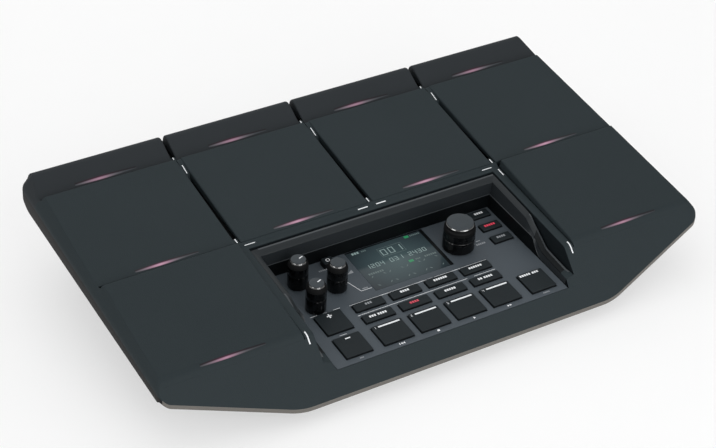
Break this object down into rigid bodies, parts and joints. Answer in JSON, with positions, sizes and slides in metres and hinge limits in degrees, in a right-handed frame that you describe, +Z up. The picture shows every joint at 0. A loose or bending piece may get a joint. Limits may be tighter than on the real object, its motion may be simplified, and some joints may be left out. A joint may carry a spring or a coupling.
{
  "type": "electronic percussion pad",
  "caption": "Low wedge-shaped electronic percussion pad: rubber striking pads in three stepped rows around a sunken control panel with keys, knobs, a dial and a display.",
  "frame": {"origin": "on the table under the middle of the bounding box", "axes": "+X to the player's right along the rows of pads, +Y to the back, +Z up"},
  "size_m": [0.4074, 0.2458, 0.0807],
  "materials": {
    "deck_rubber": "matte moulded rubber skin",
    "pad_rubber": "matte moulded rubber",
    "case_plastic": "fine textured",
    "well_plastic": "satin",
    "panel_plastic": "satin bluish grey",
    "screen_glass": "clear window",
    "module_steel": "plated can",
    "board_green": "solder mask",
    "black_plastic": "moulded",
    "plate_metal": "powder coat",
    "shell_steel": "plated",
    "foot_rubber": "matte",
    "brass": "turned",
    "lamp_lens": "lit diffuser",
    "key_plastic": "satin",
    "knob_plastic": "gloss sides, matte top",
    "pot_metal": "turned"
  },
  "bodies": {
    "case": {"bottom_case": "case_plastic", "top_frame": "deck_rubber", "control_well": "well_plastic", "control_panel": "panel_plastic", "display_window": "screen_glass", "display_module": "module_steel", "main_board": "board_green", "panel_board": "board_green", "key_switches": "black_plastic", "jack_plate": "plate_metal", "phone_jacks": "black_plastic", "mini_jacks": "black_plastic", "usb_socket": "shell_steel", "dc_inlet": "black_plastic", "power_switch": "black_plastic", "rubber_feet": "foot_rubber", "case_screws": "shell_steel", "stand_inserts": "brass", "light_pipes": "lamp_lens", "light_boards": "board_green", "pad_sensors": "brass", "pot_bodies": "pot_metal"},
    "bar_pad_1": {"bar_pad_1": "pad_rubber"},
    "bar_pad_2": {"bar_pad_2": "pad_rubber"},
    "bar_pad_3": {"bar_pad_3": "pad_rubber"},
    "bar_pad_4": {"bar_pad_4": "pad_rubber"},
    "main_pad_1": {"main_pad_1": "pad_rubber"},
    "main_pad_2": {"main_pad_2": "pad_rubber"},
    "main_pad_3": {"main_pad_3": "pad_rubber"},
    "main_pad_4": {"main_pad_4": "pad_rubber"},
    "side_pad_left": {"side_pad_left": "pad_rubber"},
    "side_pad_right": {"side_pad_right": "pad_rubber"},
    "mode_key_1": {"mode_key_1": "key_plastic"},
    "mode_key_2": {"mode_key_2": "key_plastic"},
    "mode_key_3": {"mode_key_3": "key_plastic"},
    "mode_key_4": {"mode_key_4": "key_plastic"},
    "loop_key_1": {"loop_key_1": "key_plastic"},
    "loop_key_2": {"loop_key_2": "key_plastic"},
    "loop_key_3": {"loop_key_3": "key_plastic"},
    "loop_key_4": {"loop_key_4": "key_plastic"},
    "number_key_1": {"number_key_1": "key_plastic"},
    "number_key_2": {"number_key_2": "key_plastic"},
    "number_key_3": {"number_key_3": "key_plastic"},
    "number_key_4": {"number_key_4": "key_plastic"},
    "plus_key": {"plus_key": "key_plastic"},
    "minus_key": {"minus_key": "key_plastic"},
    "shift_key": {"shift_key": "key_plastic"},
    "menu_key": {"menu_key": "key_plastic"},
    "exit_key": {"exit_key": "key_plastic"},
    "enter_key": {"enter_key": "key_plastic"},
    "click_key": {"click_key": "key_plastic"},
    "knob_1": {"knob_1": "knob_plastic", "knob_shaft_1": "pot_metal"},
    "knob_2": {"knob_2": "knob_plastic", "knob_shaft_2": "pot_metal"},
    "knob_3": {"knob_3": "knob_plastic", "knob_shaft_3": "pot_metal"},
    "dial_plunger": {"dial_shaft": "pot_metal"},
    "value_dial": {"value_dial": "knob_plastic"},
    "power_button": {"power_button": "black_plastic"}
  },
  "joints": [
    {"name": "bar_pad_1_press", "type": "slide", "parent": "case", "child": "bar_pad_1", "axis": [0, 0.1357, -0.9907], "range_m": [0, 0.0005], "stiffness_N_per_m": 9000},
    {"name": "bar_pad_2_press", "type": "slide", "parent": "case", "child": "bar_pad_2", "axis": [0, 0.1357, -0.9907], "range_m": [0, 0.0005], "stiffness_N_per_m": 9000},
    {"name": "bar_pad_3_press", "type": "slide", "parent": "case", "child": "bar_pad_3", "axis": [0, 0.1357, -0.9907], "range_m": [0, 0.0005], "stiffness_N_per_m": 9000},
    {"name": "bar_pad_4_press", "type": "slide", "parent": "case", "child": "bar_pad_4", "axis": [0, 0.1357, -0.9907], "range_m": [0, 0.0005], "stiffness_N_per_m": 9000},
    {"name": "main_pad_1_press", "type": "slide", "parent": "case", "child": "main_pad_1", "axis": [0, 0.1357, -0.9907], "range_m": [0, 0.0005], "stiffness_N_per_m": 9000},
    {"name": "main_pad_2_press", "type": "slide", "parent": "case", "child": "main_pad_2", "axis": [0, 0.1357, -0.9907], "range_m": [0, 0.0005], "stiffness_N_per_m": 9000},
    {"name": "main_pad_3_press", "type": "slide", "parent": "case", "child": "main_pad_3", "axis": [0, 0.1357, -0.9907], "range_m": [0, 0.0005], "stiffness_N_per_m": 9000},
    {"name": "main_pad_4_press", "type": "slide", "parent": "case", "child": "main_pad_4", "axis": [0, 0.1357, -0.9907], "range_m": [0, 0.0005], "stiffness_N_per_m": 9000},
    {"name": "side_pad_left_press", "type": "slide", "parent": "case", "child": "side_pad_left", "axis": [0, 0.1357, -0.9907], "range_m": [0, 0.0005], "stiffness_N_per_m": 9000},
    {"name": "side_pad_right_press", "type": "slide", "parent": "case", "child": "side_pad_right", "axis": [0, 0.1357, -0.9907], "range_m": [0, 0.0005], "stiffness_N_per_m": 9000},
    {"name": "mode_key_1_press", "type": "slide", "parent": "case", "child": "mode_key_1", "axis": [0, 0.0861, -0.9963], "range_m": [0, 0.0006], "stiffness_N_per_m": 1500},
    {"name": "mode_key_2_press", "type": "slide", "parent": "case", "child": "mode_key_2", "axis": [0, 0.0861, -0.9963], "range_m": [0, 0.0006], "stiffness_N_per_m": 1500},
    {"name": "mode_key_3_press", "type": "slide", "parent": "case", "child": "mode_key_3", "axis": [0, 0.0861, -0.9963], "range_m": [0, 0.0006], "stiffness_N_per_m": 1500},
    {"name": "mode_key_4_press", "type": "slide", "parent": "case", "child": "mode_key_4", "axis": [0, 0.0861, -0.9963], "range_m": [0, 0.0006], "stiffness_N_per_m": 1500},
    {"name": "loop_key_1_press", "type": "slide", "parent": "case", "child": "loop_key_1", "axis": [0, 0.0861, -0.9963], "range_m": [0, 0.0006], "stiffness_N_per_m": 1500},
    {"name": "loop_key_2_press", "type": "slide", "parent": "case", "child": "loop_key_2", "axis": [0, 0.0861, -0.9963], "range_m": [0, 0.0006], "stiffness_N_per_m": 1500},
    {"name": "loop_key_3_press", "type": "slide", "parent": "case", "child": "loop_key_3", "axis": [0, 0.0861, -0.9963], "range_m": [0, 0.0006], "stiffness_N_per_m": 1500},
    {"name": "loop_key_4_press", "type": "slide", "parent": "case", "child": "loop_key_4", "axis": [0, 0.0861, -0.9963], "range_m": [0, 0.0006], "stiffness_N_per_m": 1500},
    {"name": "number_key_1_press", "type": "slide", "parent": "case", "child": "number_key_1", "axis": [0, 0.0861, -0.9963], "range_m": [0, 0.0006], "stiffness_N_per_m": 1500},
    {"name": "number_key_2_press", "type": "slide", "parent": "case", "child": "number_key_2", "axis": [0, 0.0861, -0.9963], "range_m": [0, 0.0006], "stiffness_N_per_m": 1500},
    {"name": "number_key_3_press", "type": "slide", "parent": "case", "child": "number_key_3", "axis": [0, 0.0861, -0.9963], "range_m": [0, 0.0006], "stiffness_N_per_m": 1500},
    {"name": "number_key_4_press", "type": "slide", "parent": "case", "child": "number_key_4", "axis": [0, 0.0861, -0.9963], "range_m": [0, 0.0006], "stiffness_N_per_m": 1500},
    {"name": "plus_key_press", "type": "slide", "parent": "case", "child": "plus_key", "axis": [0, 0.0861, -0.9963], "range_m": [0, 0.0006], "stiffness_N_per_m": 1500},
    {"name": "minus_key_press", "type": "slide", "parent": "case", "child": "minus_key", "axis": [0, 0.0861, -0.9963], "range_m": [0, 0.0006], "stiffness_N_per_m": 1500},
    {"name": "shift_key_press", "type": "slide", "parent": "case", "child": "shift_key", "axis": [0, 0.0861, -0.9963], "range_m": [0, 0.0006], "stiffness_N_per_m": 1500},
    {"name": "menu_key_press", "type": "slide", "parent": "case", "child": "menu_key", "axis": [0, 0.0861, -0.9963], "range_m": [0, 0.0006], "stiffness_N_per_m": 1500},
    {"name": "exit_key_press", "type": "slide", "parent": "case", "child": "exit_key", "axis": [0, 0.0861, -0.9963], "range_m": [0, 0.0006], "stiffness_N_per_m": 1500},
    {"name": "enter_key_press", "type": "slide", "parent": "case", "child": "enter_key", "axis": [0, 0.0861, -0.9963], "range_m": [0, 0.0006], "stiffness_N_per_m": 1500},
    {"name": "click_key_press", "type": "slide", "parent": "case", "child": "click_key", "axis": [0, 0.0861, -0.9963], "range_m": [0, 0.0006], "stiffness_N_per_m": 1500},
    {"name": "knob_1_turn", "type": "hinge", "parent": "case", "child": "knob_1", "pos_m": [-0.0712, -0.02876, 0.03157], "axis": [0, -0.0861, 0.9963], "range_deg": [-80, 220]},
    {"name": "knob_2_turn", "type": "hinge", "parent": "case", "child": "knob_2", "pos_m": [-0.0496, -0.04301, 0.03033], "axis": [0, -0.0861, 0.9963], "continuous": true},
    {"name": "knob_3_turn", "type": "hinge", "parent": "case", "child": "knob_3", "pos_m": [-0.0721, -0.05507, 0.02929], "axis": [0, -0.0861, 0.9963], "range_deg": [-80, 220]},
    {"name": "dial_push", "type": "slide", "parent": "case", "child": "dial_plunger", "axis": [0, 0.0861, -0.9963], "range_m": [0, 0.0005], "stiffness_N_per_m": 2500},
    {"name": "dial_turn", "type": "hinge", "parent": "dial_plunger", "child": "value_dial", "pos_m": [0.04575, -0.04181, 0.03044], "axis": [0, -0.0861, 0.9963], "continuous": true},
    {"name": "power_press", "type": "slide", "parent": "case", "child": "power_button", "axis": [0, -1, 0], "range_m": [0, 0.0015], "stiffness_N_per_m": 400}
  ]
}
